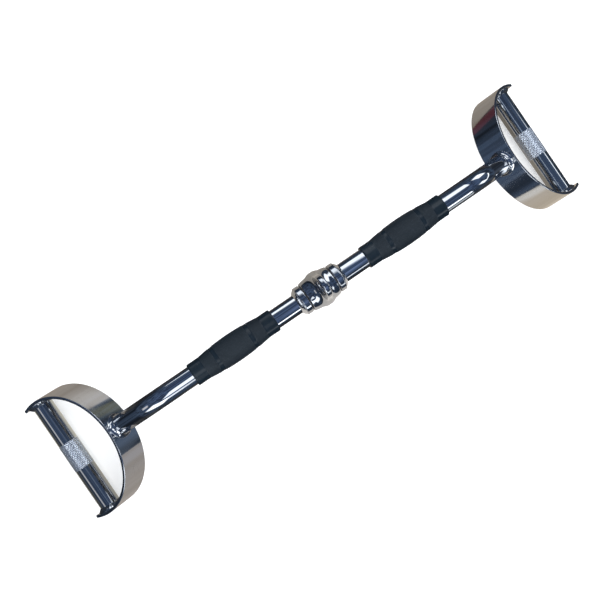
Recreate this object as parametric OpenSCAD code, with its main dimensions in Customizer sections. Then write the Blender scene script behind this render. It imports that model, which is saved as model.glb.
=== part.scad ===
// Cable row handle: a wide pull bar with a revolving hanger in the middle,
// a rubber grip on each side and a welded D-shaped stirrup at each end.
// Millimetres. +X runs along the bar, +Z points up through the hanger's eye,
// and the origin is the middle of the eye's hole.

/* [Main bar] */
// Diameter of the round bar
bar_d = 25.4; // [22:0.1:30]
// Bare bar between the collar's weld and the grip
bare_inner = 33.7; // [5:0.1:90]
// Bare bar between the grip and the start of the bend
bare_outer = 33.7; // [5:0.1:90]
// Angle that each end of the bar bends down
bend_angle = 43; // [25:1:60]
// Radius of the bend at the bar's centre line
bend_r = 60; // [40:1:90]
// Straight neck between the bend and the stirrup
neck_len = 47.5; // [20:0.5:90]

/* [Stirrups] */
// Outer radius of the bent band
band_r = 86.4; // [70:0.1:100]
// Thickness of the band
band_t = 4; // [3:0.1:6]
// Width of the flat band
band_w = 43; // [40:0.5:60]
// Rounding left on the band's long edges
band_edge = 0.7; // [0.3:0.1:1.2]
// Diameter of the hand bar
hand_bar_d = 27.6; // [22:0.1:32]
// Middle of the band's arc to the hand bar's axis
hand_bar_set = 10.5; // [0:0.5:20]
// How far the band runs on past the hand bar's axis
band_tail = 12.4; // [8:0.1:24]
// Length of the knurled middle of the hand bar
knurl_len = 38.5; // [20:0.5:90]
// How far the knurling stands out
knurl_rise = 0.3; // [0.1:0.05:0.6]

/* [Welds] */
// Leg of the weld where the bar meets the band
neck_weld_leg = 6; // [3:0.5:7]
// Leg of the welds at the ends of the hand bars
hand_weld_leg = 5.5; // [3:0.5:7]
// Length of the weld that closes each collar onto the bar
collar_weld_w = 5; // [3:0.1:8]

/* [Grips] */
// Length of the moulded grip
grip_len = 121.3; // [100:0.1:140]
// Rubber on the bar at the crowned middle
crown_wall = 5.5; // [4:0.1:9]
// Rubber on the bar at the plain cuffs
cuff_wall = 2.3; // [1.5:0.1:3.5]
// Length of each plain cuff
cuff_len = 17.5; // [10:0.5:24]
// Bevel at the ends of the grip
grip_bevel = 1.6; // [0.5:0.1:2]
// Middle of the grip to each smooth ring
ring_set = 25; // [15:0.5:30]
// Width of each smooth ring
ring_w = 5.5; // [3:0.1:8]
// Depth of each smooth ring
ring_depth = 0.4; // [0.2:0.1:0.8]

/* [Hanger sleeve] */
// Length of the revolving sleeve
sleeve_len = 40.2; // [36:0.1:60]
// Metal round the bushes at the sleeve's ends
sleeve_wall = 4; // [3:0.1:6]
// How much fatter the sleeve is in the middle, on the radius
sleeve_crown = 2.75; // [1:0.05:4]
// Bevel at the ends of the sleeve
sleeve_bevel = 0.8; // [0.3:0.1:1.5]

/* [Hanger eye] */
// Bar's axis to the middle of the eye's hole
eye_rise = 42; // [38:0.5:60]
// Diameter of the eye's hole
eye_hole_d = 17; // [12:0.5:18]
// Metal round the hole
eye_rim = 7; // [5:0.1:9]
// Thickness of the eye plate
plate_t = 8; // [6:0.1:10]
// Bevel round the plate's outer edge
plate_bevel = 1.8; // [0.5:0.1:2.5]
// Radius of the fillet from the plate down to the sleeve
flare_r = 11; // [8:0.5:12]

/* [Bearing] */
// Wall of the bushes inside the sleeve
bush_wall = 2.5; // [1.5:0.1:4]
// Length of each bush
bush_len = 14; // [8:0.5:17]
// Running clearance of the bushes on the bar, on the radius
run_gap = 0.05; // [0.02:0.01:0.1]
// Thickness of the thrust washers
washer_t = 1; // [0.5:0.1:2]
// Radial width of the thrust washers
washer_ring = 4.4; // [3:0.1:5.5]
// Clearance of the washers on the bar, on the radius
washer_gap = 0.2; // [0.1:0.05:0.4]
// End play of the sleeve at each washer
end_play = 0.2; // [0.1:0.05:0.5]
// Width of the fixed collars
collar_w = 8.3; // [5:0.1:14]
// Radial thickness of the fixed collars
collar_wall = 6.3; // [5.5:0.1:8]
// Bevel on the edges of the collars
collar_bevel = 1; // [0.3:0.1:1.5]

/* [Hidden] */
$fn = 72;

LEFT = -1;
RIGHT = 1;
FRONT = -1;
REAR = 1;
// Facets of the wide, shallow curves
wide_fn = 720;
// Facets of the thin weld beads
weld_fn = 240;
// Facets of the shapes that are hulled
hull_fn = 32;
// How far a cutting shape runs past what it cuts
past = 1;
// The bar draws down by a hair at the bend and again at the neck, on the radius,
// and each stretch starts this far inside the one before it
draw = 0.03;
lap = 1;

bar_r = bar_d / 2;
neck_r = bar_r - 2 * draw;
// Places along the bar, outwards from its middle
washer_x = sleeve_len / 2 + end_play;
collar_x = washer_x + washer_t;
collar_weld_x = collar_x + collar_w;
grip_x = collar_weld_x + collar_weld_w + bare_inner;
bend_x = grip_x + grip_len + bare_outer;
// End of the bend to the middle of the band's arc
ring_reach = neck_len + band_r;
// The band's arc: half a circle and a tail past it at each end
band_in_r = band_r - band_t;
tail_angle = asin((hand_bar_set + band_tail) / band_r);
hand_bar_r = hand_bar_d / 2;
// Angle at which the hand bar meets the band, away from square
meet_angle = asin(hand_bar_set / band_in_r);
// Grip radii, and the arc of its crown
cuff_r = bar_r + cuff_wall;
crown_r = bar_r + crown_wall;
crown_half = grip_len / 2 - cuff_len;
crown_arc = arc_radius(crown_half, crown_r - cuff_r);
// Sleeve radii, and the arc of its crown
bush_in_r = bar_r + run_gap;
bush_out_r = bush_in_r + bush_wall;
sleeve_end_r = bush_out_r + sleeve_wall;
sleeve_mid_r = sleeve_end_r + sleeve_crown;
sleeve_arc = arc_radius(sleeve_len / 2, sleeve_crown);
// Eye plate, round at the top and as wide as the sleeve at its foot
eye_r = eye_hole_d / 2 + eye_rim;
plate_foot_r = sleeve_mid_r - plate_bevel / 2;
flare_half = plate_t / 2 + flare_r;
flare_top = sleeve_mid_r + flare_r;

// Radius of an arc from its half chord and its rise
function arc_radius(half, rise) = (half * half + rise * rise) / (2 * rise);

// From the bar's own axis to the part's origin
module from_bar() {
    translate([0, 0, -eye_rise]) children();
}

// One side of the bar, and its mirror image on the other
module on_side(side) {
    if (side < 0) mirror([1, 0, 0]) children();
    else children();
}

// The end of the right bend, with +X on along the neck
module at_neck() {
    translate([bend_x, 0, -bend_r]) rotate([0, bend_angle, 0]) translate([0, 0, bend_r])
        children();
}

// The middle of the right band's arc, with +Z square to the D
module at_stirrup() {
    at_neck() translate([ring_reach, 0, 0]) children();
}

// A round rod along X, from x0 to x1
module rod_x(x0, x1, r) {
    translate([x0, 0, 0]) rotate([0, 90, 0]) cylinder(h = x1 - x0, r = r);
}

// A ring along X with bevels on its outer edges
module ring_x_bevelled(x0, len, r_in, r_out, bevel) {
    translate([x0, 0, 0]) rotate([0, 90, 0]) rotate_extrude()
        polygon([[r_in, 0], [r_out - bevel, 0], [r_out, bevel],
            [r_out, len - bevel], [r_out - bevel, len], [r_in, len]]);
}

// A stretch of the band's arc with any section, drawn as (radius, width)
module along_band() {
    rotate([0, 0, 90 - tail_angle]) rotate_extrude(angle = 180 + 2 * tail_angle) children();
}

// A flat strip's section with its four edges taken off
module strip_section(r0, r1, w, edge) {
    polygon([[r0 + edge, -w / 2], [r1 - edge, -w / 2], [r1, edge - w / 2], [r1, w / 2 - edge],
        [r1 - edge, w / 2], [r0 + edge, w / 2], [r0, w / 2 - edge], [r0, edge - w / 2]]);
}

// A stretch of a ring of round bar, which starts a little way inside the straight
module bend() {
    room = 2 * bend_r;
    intersection() {
        translate([bend_x, 0, -bend_r]) rotate([90, 0, 0])
            rotate_extrude() translate([bend_r, 0]) circle(r = bar_r - draw);
        translate([bend_x - lap, -bar_d, -bend_r]) cube([room, 2 * bar_d, room]);
        at_neck() translate([-room, -bar_d, -room]) cube([room, 2 * bar_d, 2 * room]);
    }
}

// The neck after the bend, coped to the back of the band
module neck() {
    at_neck() difference() {
        rod_x(-lap, neck_len + band_t, neck_r);
        translate([ring_reach, 0, 0]) cylinder(r = band_r, h = band_w, center = true);
    }
}

module main_bar() {
    color("gainsboro") from_bar() {
        rod_x(-bend_x, bend_x, bar_r);
        for (side = [LEFT, RIGHT]) on_side(side) {
            bend();
            neck();
        }
    }
}

module band(side) {
    color("silver") from_bar() on_side(side) at_stirrup()
        along_band() strip_section(band_in_r, band_r, band_w, band_edge);
}

// The hand bar's axis is parallel to Y
module hand_rod(r, len) {
    translate([hand_bar_set, 0, 0]) rotate([90, 0, 0]) cylinder(r = r, h = len, center = true);
}

module hand_bar(side) {
    color("gainsboro") from_bar() on_side(side) at_stirrup() {
        intersection() {
            hand_rod(hand_bar_r, 2 * band_r);
            cylinder(r = band_in_r, h = band_w, center = true);
        }
        hand_rod(hand_bar_r + knurl_rise, knurl_len);
    }
}

// The weld between the bar and the back of the band, wider on the arc's flanks
module neck_weld(side) {
    color("lightgray") from_bar() on_side(side) at_stirrup() difference() {
        translate([-band_r - neck_weld_leg, 0, 0]) rotate([0, 90, 0])
            cylinder(h = neck_weld_leg + band_t, r1 = neck_r,
                r2 = neck_r + neck_weld_leg + band_t, $fn = weld_fn);
        cylinder(r = band_r, h = 2 * band_w, center = true, $fn = weld_fn);
        rod_x(-ring_reach, -band_in_r + past, neck_r, $fn = weld_fn);
    }
}

// The weld round one end of a hand bar, inside the band
module hand_weld(side, end) {
    // The cone runs on into the hand bar, so that its tilt leaves no gap
    sink = hand_bar_r / 3;
    depth = hand_weld_leg + sink;
    color("lightgray") from_bar() on_side(side) at_stirrup() difference() {
        intersection() {
            rotate([0, 0, end * (90 - meet_angle)]) translate([band_in_r - depth, 0, 0])
                rotate([0, 90, 0])
                cylinder(h = depth, r1 = hand_bar_r - sink, r2 = hand_bar_r + hand_weld_leg,
                    $fn = weld_fn);
            along_band($fn = weld_fn) strip_section(band_in_r - 2 * depth, band_in_r, band_w, 0);
        }
        hand_rod(hand_bar_r, 2 * band_r, $fn = weld_fn);
    }
}

// Half of the grip's section: x is the radius, y runs along the bar
module grip_section() {
    difference() {
        union() {
            translate([bar_r, -grip_len / 2]) square([cuff_wall, grip_len]);
            intersection() {
                translate([crown_r - crown_arc, 0]) circle(r = crown_arc, $fn = wide_fn);
                translate([bar_r, -crown_half]) square([crown_wall + past, 2 * crown_half]);
            }
        }
        for (end = [-1, 1]) {
            translate([cuff_r, end * grip_len / 2]) rotate(45)
                square(grip_bevel * sqrt(2), center = true);
            intersection() {
                translate([crown_r - crown_arc, 0]) difference() {
                    circle(r = crown_arc + past, $fn = wide_fn);
                    circle(r = crown_arc - ring_depth, $fn = wide_fn);
                }
                translate([bar_r, end * ring_set - ring_w / 2]) square([2 * crown_wall, ring_w]);
            }
        }
    }
}

module grip(side) {
    color("#38414c") from_bar() on_side(side)
        translate([grip_x + grip_len / 2, 0, 0]) rotate([0, 90, 0])
        rotate_extrude() grip_section();
}

module collar(side) {
    color("silver") from_bar() on_side(side)
        ring_x_bevelled(collar_x, collar_w, bar_r, bar_r + collar_wall, collar_bevel);
}

module collar_weld(side) {
    color("lightgray") from_bar() on_side(side)
        translate([collar_weld_x, 0, 0]) rotate([0, 90, 0]) rotate_extrude()
        polygon([[bar_r, 0], [bar_r + collar_wall - collar_bevel, 0], [bar_r, collar_weld_w]]);
}

module washer(side) {
    washer_in_r = bar_r + washer_gap;
    color("dimgray") from_bar() on_side(side) translate([washer_x, 0, 0]) rotate([0, 90, 0])
        difference() {
            cylinder(h = washer_t, r = washer_in_r + washer_ring);
            translate([0, 0, -past]) cylinder(h = washer_t + 2 * past, r = washer_in_r);
        }
}

module bush(side) {
    color("peru") from_bar() on_side(side)
        translate([sleeve_len / 2 - bush_len, 0, 0]) rotate([0, 90, 0])
        difference() {
            cylinder(h = bush_len, r = bush_out_r);
            translate([0, 0, -past]) cylinder(h = bush_len + 2 * past, r = bush_in_r);
        }
}

// The barrel-shaped sleeve, as a section turned about the bar's axis
module sleeve_body() {
    rotate([0, 90, 0]) rotate_extrude() difference() {
        intersection() {
            translate([sleeve_mid_r - sleeve_arc, 0]) circle(r = sleeve_arc, $fn = wide_fn);
            translate([0, -sleeve_len / 2]) square([sleeve_mid_r, sleeve_len]);
        }
        for (end = [-1, 1])
            translate([sleeve_end_r, end * sleeve_len / 2]) rotate(45)
                square(sleeve_bevel * sqrt(2), center = true);
    }
}

// A disc across the bar with bevelled rims
module plate_disc(r, t) {
    rotate([0, 90, 0]) rotate_extrude($fn = hull_fn)
        polygon([[0, -t / 2], [r - plate_bevel, -t / 2], [r, plate_bevel - t / 2],
            [r, t / 2 - plate_bevel], [r - plate_bevel, t / 2], [0, t / 2]]);
}

// The plate's outline at any thickness, from the bar's axis up to the eye
module plate_blank(t) {
    hull() {
        plate_disc(plate_foot_r, t);
        translate([0, 0, eye_rise]) plate_disc(eye_r, t);
    }
}

// The foot of the plate, which widens into the sleeve with a hollow fillet
module flare() {
    intersection() {
        plate_blank(2 * flare_half);
        rotate([90, 0, 0]) linear_extrude(2 * sleeve_mid_r, center = true) difference() {
            translate([-flare_half, 0]) square([2 * flare_half, flare_top]);
            for (end = [-1, 1]) translate([end * flare_half, flare_top]) circle(r = flare_r);
        }
    }
}

module swivel_hanger() {
    color("lightsteelblue") from_bar() difference() {
        union() {
            sleeve_body();
            plate_blank(plate_t);
            flare();
        }
        rod_x(-sleeve_len / 2 - past, sleeve_len / 2 + past, bush_out_r);
        translate([0, 0, eye_rise]) rod_x(-flare_half - past, flare_half + past, eye_hole_d / 2);
    }
}

main_bar();
band(LEFT);  // left_band
band(RIGHT);  // right_band
hand_bar(LEFT);  // left_hand_bar
hand_bar(RIGHT);  // right_hand_bar
neck_weld(LEFT);  // left_neck_weld
neck_weld(RIGHT);  // right_neck_weld
hand_weld(LEFT, FRONT);  // left_front_weld
hand_weld(LEFT, REAR);  // left_rear_weld
hand_weld(RIGHT, FRONT);  // right_front_weld
hand_weld(RIGHT, REAR);  // right_rear_weld
grip(LEFT);  // left_grip
grip(RIGHT);  // right_grip
collar(LEFT);  // left_collar
collar(RIGHT);  // right_collar
collar_weld(LEFT);  // left_collar_weld
collar_weld(RIGHT);  // right_collar_weld
washer(LEFT);  // left_washer
washer(RIGHT);  // right_washer
bush(LEFT);  // left_bush
bush(RIGHT);  // right_bush
swivel_hanger();
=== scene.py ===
import itertools
import math

import bmesh
import bpy
import numpy as np
from mathutils import Matrix, Vector


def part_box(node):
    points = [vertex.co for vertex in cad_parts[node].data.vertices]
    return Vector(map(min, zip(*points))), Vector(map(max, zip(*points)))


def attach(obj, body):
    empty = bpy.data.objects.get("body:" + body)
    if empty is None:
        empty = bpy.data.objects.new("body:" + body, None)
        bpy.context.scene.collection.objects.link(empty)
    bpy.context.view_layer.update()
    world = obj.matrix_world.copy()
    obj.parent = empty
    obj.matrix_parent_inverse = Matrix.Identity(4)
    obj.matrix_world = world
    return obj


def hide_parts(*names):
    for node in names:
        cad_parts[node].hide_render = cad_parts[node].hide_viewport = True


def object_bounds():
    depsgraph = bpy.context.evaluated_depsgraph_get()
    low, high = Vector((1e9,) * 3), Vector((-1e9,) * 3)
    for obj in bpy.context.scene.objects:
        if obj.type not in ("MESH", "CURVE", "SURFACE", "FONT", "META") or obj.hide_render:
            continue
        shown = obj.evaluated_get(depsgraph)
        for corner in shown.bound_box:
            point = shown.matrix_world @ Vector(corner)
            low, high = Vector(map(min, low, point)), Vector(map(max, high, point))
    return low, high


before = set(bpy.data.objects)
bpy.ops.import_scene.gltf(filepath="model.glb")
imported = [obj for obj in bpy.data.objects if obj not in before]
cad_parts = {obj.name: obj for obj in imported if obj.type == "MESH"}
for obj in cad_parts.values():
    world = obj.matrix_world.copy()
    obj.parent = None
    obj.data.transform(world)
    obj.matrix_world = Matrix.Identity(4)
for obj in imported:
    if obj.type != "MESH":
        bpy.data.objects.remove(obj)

# The solids' own box, kept before anything is dressed
SOLID_BOX = [list(corner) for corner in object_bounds()]

MM = 0.001
LEFT = -1
RIGHT = 1
SIDES = {"left": LEFT, "right": RIGHT}
FRONT = -1
REAR = 1
TURN = 2 * math.pi

# Sizes of the bar, the stirrups, the grips and the hanger, as the solids have them
BEND_ANGLE = math.radians(43)
BEND_RADIUS = 60 * MM
BARE_OUTER = 33.7 * MM
NECK_LENGTH = 47.5 * MM
BAND_THICKNESS = 4 * MM
BAND_WIDTH = 43 * MM
BAND_TAIL = 12.4 * MM
HAND_BAR_RADIUS = 13.8 * MM
HAND_BAR_SET = 10.5 * MM
KNURL_LENGTH = 38.5 * MM
KNURL_RISE = 0.3 * MM
NECK_WELD_LEG = 6 * MM
HAND_WELD_LEG = 5.5 * MM
CUFF_WALL = 2.3 * MM
CUFF_LENGTH = 17.5 * MM
RING_SET = 25 * MM
RING_WIDTH = 5.5 * MM
EYE_RISE = 42 * MM
EYE_HOLE_RADIUS = 8.5 * MM
EYE_RIM = 7 * MM
PLATE_THICKNESS = 8 * MM
FLARE_RADIUS = 11 * MM
SLEEVE_END_RADIUS = 19.25 * MM
SLEEVE_CROWN = 2.75 * MM

# Sizes of the dressed pieces alone
RING_DEPTH = 0.3 * MM
LINE_DEPTH = 0.0006 * MM

# Sizes read off the frame
BAR_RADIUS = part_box("main_bar")[1].y
BAR_Z = -EYE_RISE
BAND_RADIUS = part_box("right_band")[1].y
BAND_INNER = BAND_RADIUS - BAND_THICKNESS
GRIP_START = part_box("right_grip")[0].x
GRIP_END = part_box("right_grip")[1].x
CROWN_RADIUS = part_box("right_grip")[1].y
SLEEVE_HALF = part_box("swivel_hanger")[1].x
BUSH_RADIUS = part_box("right_bush")[1].y

# Places worked out from them
BEND_START = GRIP_END + BARE_OUTER
RING_REACH = NECK_LENGTH + BAND_RADIUS
TAIL_ANGLE = math.asin((HAND_BAR_SET + BAND_TAIL) / BAND_RADIUS)
FLOOR_Z = SOLID_BOX[0][2]


class Stirrup:
    """Where a stirrup lies: its arc's middle and its axes.

    The axes run out from the bar, along the hand bar, and square to the D.
    """

    def __init__(self, side):
        cos, sin = math.cos(BEND_ANGLE), math.sin(BEND_ANGLE)
        self.out = np.array([side * cos, 0, -sin])
        self.along = np.array([0, 1.0, 0])
        self.up = np.array([side * sin, 0, cos])
        x = BEND_START + BEND_RADIUS * sin + RING_REACH * cos
        z = BAR_Z - BEND_RADIUS * (1 - cos) - RING_REACH * sin
        self.middle = np.array([side * x, 0, z])

    def point(self, out, along, up):
        """Points in the frame from distances along the stirrup's own axes."""
        out, along, up = np.broadcast_arrays(out, along, up)
        return (self.middle + out[..., None] * self.out + along[..., None] * self.along
                + up[..., None] * self.up)


# Mesh making

def sheet_faces(rings, round_lengths, along_lengths, closed=False):
    """Quads between rings of points, and each corner's flow: metres along and metres round."""
    count, sides = rings.shape[:2]
    rows = np.arange(count if closed else count - 1)
    row, col = np.meshgrid(rows, np.arange(sides), indexing="ij")
    next_row, next_col = (row + 1) % count, (col + 1) % sides
    quads = np.stack([row * sides + col, row * sides + next_col,
                      next_row * sides + next_col, next_row * sides + col], -1)
    along = np.stack([along_lengths[row], along_lengths[row],
                      along_lengths[row + 1], along_lengths[row + 1]], -1)
    around = np.stack([round_lengths[col], round_lengths[col + 1],
                       round_lengths[col + 1], round_lengths[col]], -1)
    return quads.reshape(-1, 4), np.stack([along, around], -1).reshape(-1, 4, 2)


def path_lengths(points, closed=False):
    """Length run at each point of a path, with the way back to its start if it is closed."""
    path = np.vstack([points, points[:1]]) if closed else points
    steps = np.linalg.norm(np.diff(path, axis=0), axis=1)
    return np.concatenate([[0], np.cumsum(steps)])


def build(name, points, faces, flow):
    """A smooth-shaded mesh object, with its flow kept as a UV map and its faces turned outwards."""
    mesh = bpy.data.meshes.new(name)
    mesh.from_pydata(points.tolist(), [], faces)
    layer = mesh.uv_layers.new(name="flow")
    corners = np.concatenate([np.asarray(part, float).reshape(-1, 2) for part in flow])
    layer.data.foreach_set("uv", corners.ravel())
    shape = bmesh.new()
    shape.from_mesh(mesh)
    bmesh.ops.recalc_face_normals(shape, faces=shape.faces)
    shape.to_mesh(mesh)
    shape.free()
    mesh.shade_smooth()
    piece = bpy.data.objects.new(name, mesh)
    bpy.context.scene.collection.objects.link(piece)
    return piece


def skin(name, rings, closed_rings=False, caps=()):
    """A piece from rings of points. A cap, with its middle point, closes the first or last ring."""
    count, sides = rings.shape[:2]
    middle = rings.mean(axis=1)
    along = path_lengths(rings[:, 0], closed_rings)
    around = path_lengths(rings[count // 2], True)
    quads, flow = sheet_faces(rings, around, along, closed_rings)
    points, faces, flows = rings.reshape(-1, 3), quads.tolist(), [flow]
    for end, tip in caps:
        start = 0 if end == 0 else (count - 1) * sides
        tip_index = len(points)
        points = np.vstack([points, np.reshape(middle[end] if tip is None else tip, (1, 3))])
        faces += [[start + i, start + (i + 1) % sides, tip_index] for i in range(sides)]
        flows.append(np.zeros((sides, 3, 2)))
    return build(name, points, faces, flows)


def dress(piece, body, slot, material, *stands_for):
    """Gives a piece its body and its finish, and hides the solids that it stands for. The slot is
    not used.
    """
    piece.data.materials.append(material)
    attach(piece, body)
    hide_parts(*stands_for)
    return piece


def eased(corners, steps=6):
    """A closed outline whose corners (x, y, radius) are rounded, with a point beside each arc."""
    points = []
    count = len(corners)
    for i, (x, y, radius) in enumerate(corners):
        here = np.array([x, y])
        before = np.array(corners[i - 1][:2]) - here
        after = np.array(corners[(i + 1) % count][:2]) - here
        before /= np.linalg.norm(before)
        after /= np.linalg.norm(after)
        half = math.acos(np.clip(before @ after, -1, 1)) / 2
        if radius == 0:
            points.append(here)
            continue
        reach = radius / math.tan(half)
        centre = here + (before + after) / np.linalg.norm(before + after) * radius / math.sin(half)
        start, end = here + before * reach, here + after * reach
        points.append(start + before * radius * 0.2)
        a, b = start - centre, end - centre
        sweep = math.pi - 2 * half
        for k in range(steps + 1):
            t = k / steps
            arc = (math.sin((1 - t) * sweep) * a + math.sin(t * sweep) * b) / math.sin(sweep)
            points.append(centre + arc)
        points.append(end + after * radius * 0.2)
    return np.array(points)


def turned_rings(outline, sides=144):
    """Rings from an outline of (place along the bar, radius), turned about the bar's axis.

    A row with a radius for each side gives an uneven ring.
    """
    angle = np.arange(sides) / sides * TURN
    x = np.repeat(outline[:, :1], sides, axis=1)
    return np.stack([x, outline[:, 1:] * np.cos(angle), outline[:, 1:] * np.sin(angle) + BAR_Z], -1)


def smooth_step(value, low, high):
    """0 below low, 1 above high and an even slope between."""
    t = np.clip((value - low) / (high - low), 0, 1)
    return t * t * (3 - 2 * t)


# Node helpers

def node(tree, kind, settings=None, **inputs):
    """A new node with its settings, and its inputs set to values or linked to sockets."""
    made = tree.nodes.new(kind)
    for key, value in (settings or {}).items():
        setattr(made, key, value)
    for key, value in inputs.items():
        wire(tree, made, key.replace("_", " "), value)
    return made


def wire(tree, made, key, value):
    """Sets an input by name or number, or links a socket to it."""
    place = made.inputs[int(key)] if key.isdigit() else made.inputs[key]
    if isinstance(value, bpy.types.NodeSocket):
        tree.links.new(value, place)
    else:
        place.default_value = value


def math_node(tree, operation, a, b=0.0, c=0.0, clamp=False):
    """The result of a sum on two or three values."""
    made = node(tree, "ShaderNodeMath", {"operation": operation, "use_clamp": clamp})
    for number, value in enumerate((a, b, c)):
        wire(tree, made, str(number), value)
    return made.outputs[0]


def times(tree, a, b, plus=0.0, clamp=False):
    """Two values multiplied, with a third added."""
    return math_node(tree, "MULTIPLY_ADD", a, b, plus, clamp)


def apart(tree, a, b):
    """How far two values lie from each other."""
    return math_node(tree, "ABSOLUTE", math_node(tree, "SUBTRACT", a, b))


def split(tree, vector):
    """The outputs X, Y and Z of a vector."""
    return node(tree, "ShaderNodeSeparateXYZ", Vector=vector).outputs


def ramp(tree, value, low, high, bottom=0.0, top=1.0):
    """A value carried smoothly from one range to another."""
    made = node(tree, "ShaderNodeMapRange", {"interpolation_type": "SMOOTHSTEP"}, Value=value,
                From_Min=low, From_Max=high, To_Min=bottom, To_Max=top)
    return made.outputs["Result"]


def blend_colour(tree, share, first, second):
    """A colour between two, by a share. The mix node numbers its colour sockets 6, 7 and 2."""
    made = node(tree, "ShaderNodeMix", {"data_type": "RGBA"})
    for number, value in (("0", share), ("6", first), ("7", second)):
        wire(tree, made, number, value)
    return made.outputs[2]


def noise(tree, vector, scale, detail=2.0, roughness=0.5):
    """A cloudy value between 0 and 1."""
    return node(tree, "ShaderNodeTexNoise", Vector=vector, Scale=scale, Detail=detail,
                Roughness=roughness).outputs["Fac"]


def new_group(name, inputs, outputs):
    """A shader node group with named sockets. Returns its tree and its inputs' sockets."""
    tree = bpy.data.node_groups.new(name, "ShaderNodeTree")
    for label, kind, value in inputs:
        place = tree.interface.new_socket(label, in_out="INPUT", socket_type=kind)
        if value is not None:
            place.default_value = value
    for label, kind in outputs:
        tree.interface.new_socket(label, in_out="OUTPUT", socket_type=kind)
    return tree, tree.nodes.new("NodeGroupInput").outputs


def close_group(tree, **results):
    """Links a group's results to its outputs."""
    node(tree, "NodeGroupOutput", **results)
    return tree


def use_group(tree, group, **inputs):
    """Places a group in a material with its own values."""
    return node(tree, "ShaderNodeGroup", {"node_tree": group}, **inputs).outputs


VECTOR = "NodeSocketVector"
VALUE = "NodeSocketFloat"


def make_plating_ripple():
    """The slow waviness that polishing leaves under chrome, as a height in metres."""
    tree, given = new_group("plating ripple", [("Place", VECTOR, None), ("Wave", VALUE, 60.0),
                                               ("Depth", VALUE, 0.01 * MM)], [("Height", VALUE)])
    slow = noise(tree, given["Place"], given["Wave"], 1.0)
    quick = noise(tree, given["Place"], times(tree, given["Wave"], 4.7), 2.0)
    both = times(tree, quick, 0.16, slow)
    return close_group(tree, Height=times(tree, both, given["Depth"]))


def make_polish_lines():
    """Fine polishing lines that run along the flow, as a mask."""
    tree, given = new_group("polish lines", [("Flow", VECTOR, None), ("Lines", VALUE, 1800.0),
                                             ("Stretch", VALUE, 60.0), ("Share", VALUE, 0.4)],
                            [("Mask", VALUE)])
    parts = split(tree, given["Flow"])
    run = math_node(tree, "DIVIDE", times(tree, parts["X"], given["Lines"]), given["Stretch"])
    across = times(tree, parts["Y"], given["Lines"])
    place = node(tree, "ShaderNodeCombineXYZ", X=run, Y=across).outputs["Vector"]
    fine = noise(tree, place, 1.0, 3.0, 0.6)
    low = math_node(tree, "SUBTRACT", 1.0, given["Share"])
    mask = math_node(tree, "SUBTRACT", fine, times(tree, low, 0.7))
    return close_group(tree, Mask=times(tree, mask, 3.0, clamp=True))


def make_handling_marks():
    """Where hands and a cloth have dulled a surface: a soft, blotchy mask."""
    tree, given = new_group("handling marks", [("Place", VECTOR, None), ("Size", VALUE, 25.0)],
                            [("Mask", VALUE)])
    broad = noise(tree, given["Place"], given["Size"], 3.0, 0.55)
    specks = noise(tree, given["Place"], times(tree, given["Size"], 9.0), 3.0, 0.7)
    patches = ramp(tree, broad, 0.45, 0.72)
    grain = ramp(tree, specks, 0.35, 0.75)
    return close_group(tree, Mask=times(tree, patches, grain))


def make_pebble_grain():
    """The fine pebbled skin of moulded rubber: its height and the dust that its valleys hold."""
    tree, given = new_group("pebble grain", [("Place", VECTOR, None), ("Pebbles", VALUE, 900.0)],
                            [("Height", VALUE), ("Valleys", VALUE)])
    cells = node(tree, "ShaderNodeTexVoronoi", {"feature": "SMOOTH_F1"}, Vector=given["Place"],
                 Scale=given["Pebbles"], Smoothness=0.4).outputs["Distance"]
    crumbs = noise(tree, given["Place"], times(tree, given["Pebbles"], 2.4), 2.0)
    domes = math_node(tree, "SUBTRACT", 1.0, ramp(tree, cells, 0.1, 0.75))
    height = times(tree, crumbs, 0.35, domes)
    return close_group(tree, Height=height, Valleys=ramp(tree, cells, 0.45, 0.8))


RIPPLE = make_plating_ripple()
LINES = make_polish_lines()
MARKS = make_handling_marks()
PEBBLES = make_pebble_grain()


def new_material(name):
    """A material with its tree, its Principled shader and the place of each point on the object."""
    material = bpy.data.materials.new(name)
    material.use_nodes = True
    tree = material.node_tree
    shader = next(n for n in tree.nodes if n.type == "BSDF_PRINCIPLED")
    place = node(tree, "ShaderNodeTexCoord").outputs["Object"]
    return material, tree, shader, place


def set_finish(tree, shader, tone, rough, bump):
    """Gives a shader its colour, its roughness and its bump."""
    tree.links.new(tone, shader.inputs["Base Color"])
    tree.links.new(rough, shader.inputs["Roughness"])
    tree.links.new(bump.outputs["Normal"], shader.inputs["Normal"])


CHROME = (0.60, 0.615, 0.64, 1)
CHROME_DULL = (0.50, 0.51, 0.53, 1)


def chrome(name, roughness, wave, depth, line_share=0.3, lines=1400.0, dull=0.10, by_flow=True,
           bright=CHROME):
    """Polished chrome plate: slow ripples, polishing lines and patches dulled by handling."""
    material, tree, shader, place = new_material(name)
    marks = use_group(tree, MARKS, Place=place, Size=28.0)["Mask"]
    ripple = use_group(tree, RIPPLE, Place=place, Wave=wave, Depth=depth)["Height"]
    flow = node(tree, "ShaderNodeUVMap", {"uv_map": "flow"}).outputs["UV"] if by_flow else place
    fine = use_group(tree, LINES, Flow=flow, Lines=lines, Stretch=70.0, Share=line_share)["Mask"]
    tone = blend_colour(tree, times(tree, marks, 0.6), bright, CHROME_DULL)
    rough = times(tree, marks, dull, roughness)
    rough = times(tree, fine, roughness * 0.5, rough)
    height = times(tree, fine, -LINE_DEPTH, ripple)
    bump = node(tree, "ShaderNodeBump", Strength=1.0, Distance=1.0, Height=height)
    shader.inputs["Metallic"].default_value = 1.0
    set_finish(tree, shader, tone, rough, bump)
    return material


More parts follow.
